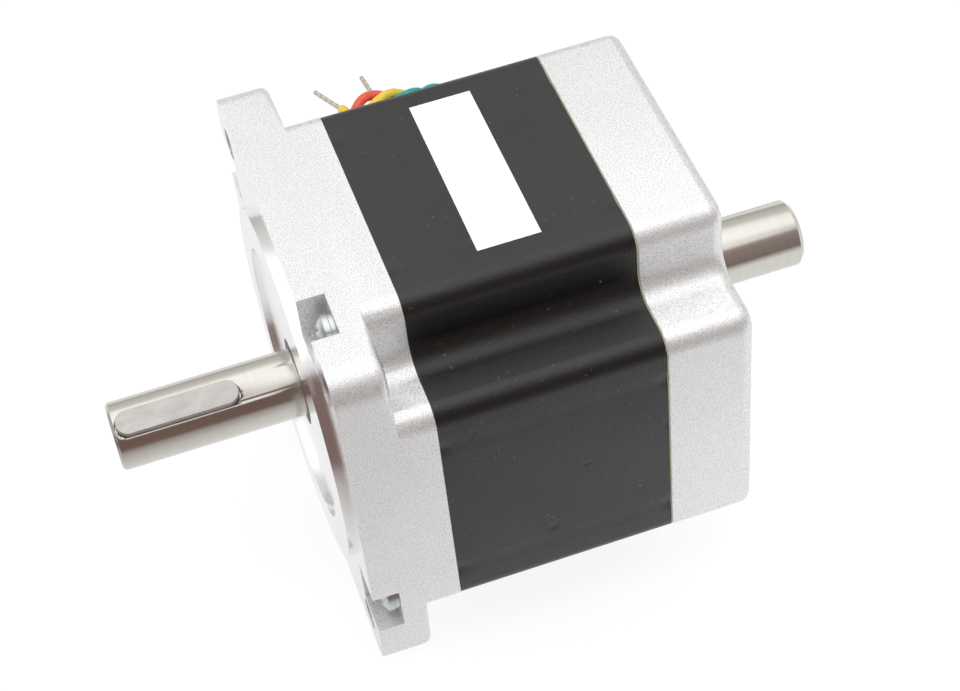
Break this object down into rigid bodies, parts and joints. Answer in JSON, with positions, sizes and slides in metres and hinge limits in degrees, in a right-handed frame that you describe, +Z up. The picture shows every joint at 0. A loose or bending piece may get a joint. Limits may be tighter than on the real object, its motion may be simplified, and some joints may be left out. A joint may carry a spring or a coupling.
{
  "type": "stepper motor",
  "caption": "Square hybrid stepper motor with a flange, keyed drive shaft, plain rear shaft and coloured leads.",
  "frame": {"origin": "shaft axis in the plane of the mounting face", "axes": "drive shaft along -Y, rear shaft along +Y, +Z up, leads leave on -X; the motor lies on the -Z faces of its caps"},
  "size_m": [0.1732, 0.1455, 0.0862],
  "materials": {
    "cast_aluminium": "blasted casting, front face and pilot turned bright",
    "laminations": "stamped sheet, dull",
    "black_sleeve": "satin film",
    "label_film": "matt white, bare",
    "ivory_nylon": "moulded",
    "enamelled_copper": "enamelled wire",
    "zinc_plate": "zinc plated",
    "bearing_steel": "ground",
    "polished_balls": "polished",
    "spring_steel": "rolled strip",
    "black_rubber": "moulded",
    "tail_insulation": "wire insulation",
    "red_insulation": "wire insulation",
    "yellow_insulation": "wire insulation",
    "green_insulation": "wire insulation",
    "blue_green_insulation": "wire insulation",
    "tinned_copper": "tinned strands",
    "ground_steel": "ground",
    "key_steel": "drawn",
    "magnet": "sintered"
  },
  "bodies": {
    "housing": {"front_cap": "cast_aluminium", "rear_cap": "cast_aluminium", "stator_core": "laminations", "stator_sleeve": "black_sleeve", "label": "label_film", "front_insulator": "ivory_nylon", "rear_insulator": "ivory_nylon", "coil_1": "enamelled_copper", "coil_2": "enamelled_copper", "coil_3": "enamelled_copper", "coil_4": "enamelled_copper", "coil_5": "enamelled_copper", "coil_6": "enamelled_copper", "coil_7": "enamelled_copper", "coil_8": "enamelled_copper", "assembly_screws": "zinc_plate", "screw_spring_washers": "zinc_plate", "front_bearing_outer_ring": "bearing_steel", "front_bearing_shields": "spring_steel", "rear_bearing_outer_ring": "bearing_steel", "rear_bearing_shields": "spring_steel", "wave_washer": "spring_steel", "lead_grommet": "black_rubber", "lead_tails": "tail_insulation", "lead_red": "red_insulation", "lead_yellow": "yellow_insulation", "lead_green": "green_insulation", "lead_blue": "blue_green_insulation", "lead_tip_red": "tinned_copper", "lead_tip_yellow": "tinned_copper", "lead_tip_green": "tinned_copper", "lead_tip_blue": "tinned_copper"},
    "rotor": {"shaft": "ground_steel", "shaft_key": "key_steel", "front_rotor_stack": "laminations", "rear_rotor_stack": "laminations", "rotor_magnet": "magnet", "front_bearing_inner_ring": "bearing_steel", "rear_bearing_inner_ring": "bearing_steel"},
    "front_cage": {"front_bearing_cage": "spring_steel", "front_bearing_balls": "polished_balls"},
    "rear_cage": {"rear_bearing_cage": "spring_steel", "rear_bearing_balls": "polished_balls"}
  },
  "joints": [
    {"name": "rotor_spin", "type": "hinge", "parent": "housing", "child": "rotor", "pos_m": [0, 0, 0], "axis": [0, 1, 0], "continuous": true},
    {"name": "front_cage_spin", "type": "hinge", "parent": "housing", "child": "front_cage", "pos_m": [0, 0.0075, 0], "axis": [0, 1, 0], "continuous": true},
    {"name": "rear_cage_spin", "type": "hinge", "parent": "housing", "child": "rear_cage", "pos_m": [0, 0.0715, 0], "axis": [0, 1, 0], "continuous": true}
  ],
  "couplings": [
    {"joint": "front_cage_spin", "follows": "rotor_spin", "ratio": 0.382},
    {"joint": "rear_cage_spin", "follows": "rotor_spin", "ratio": 0.382}
  ]
}
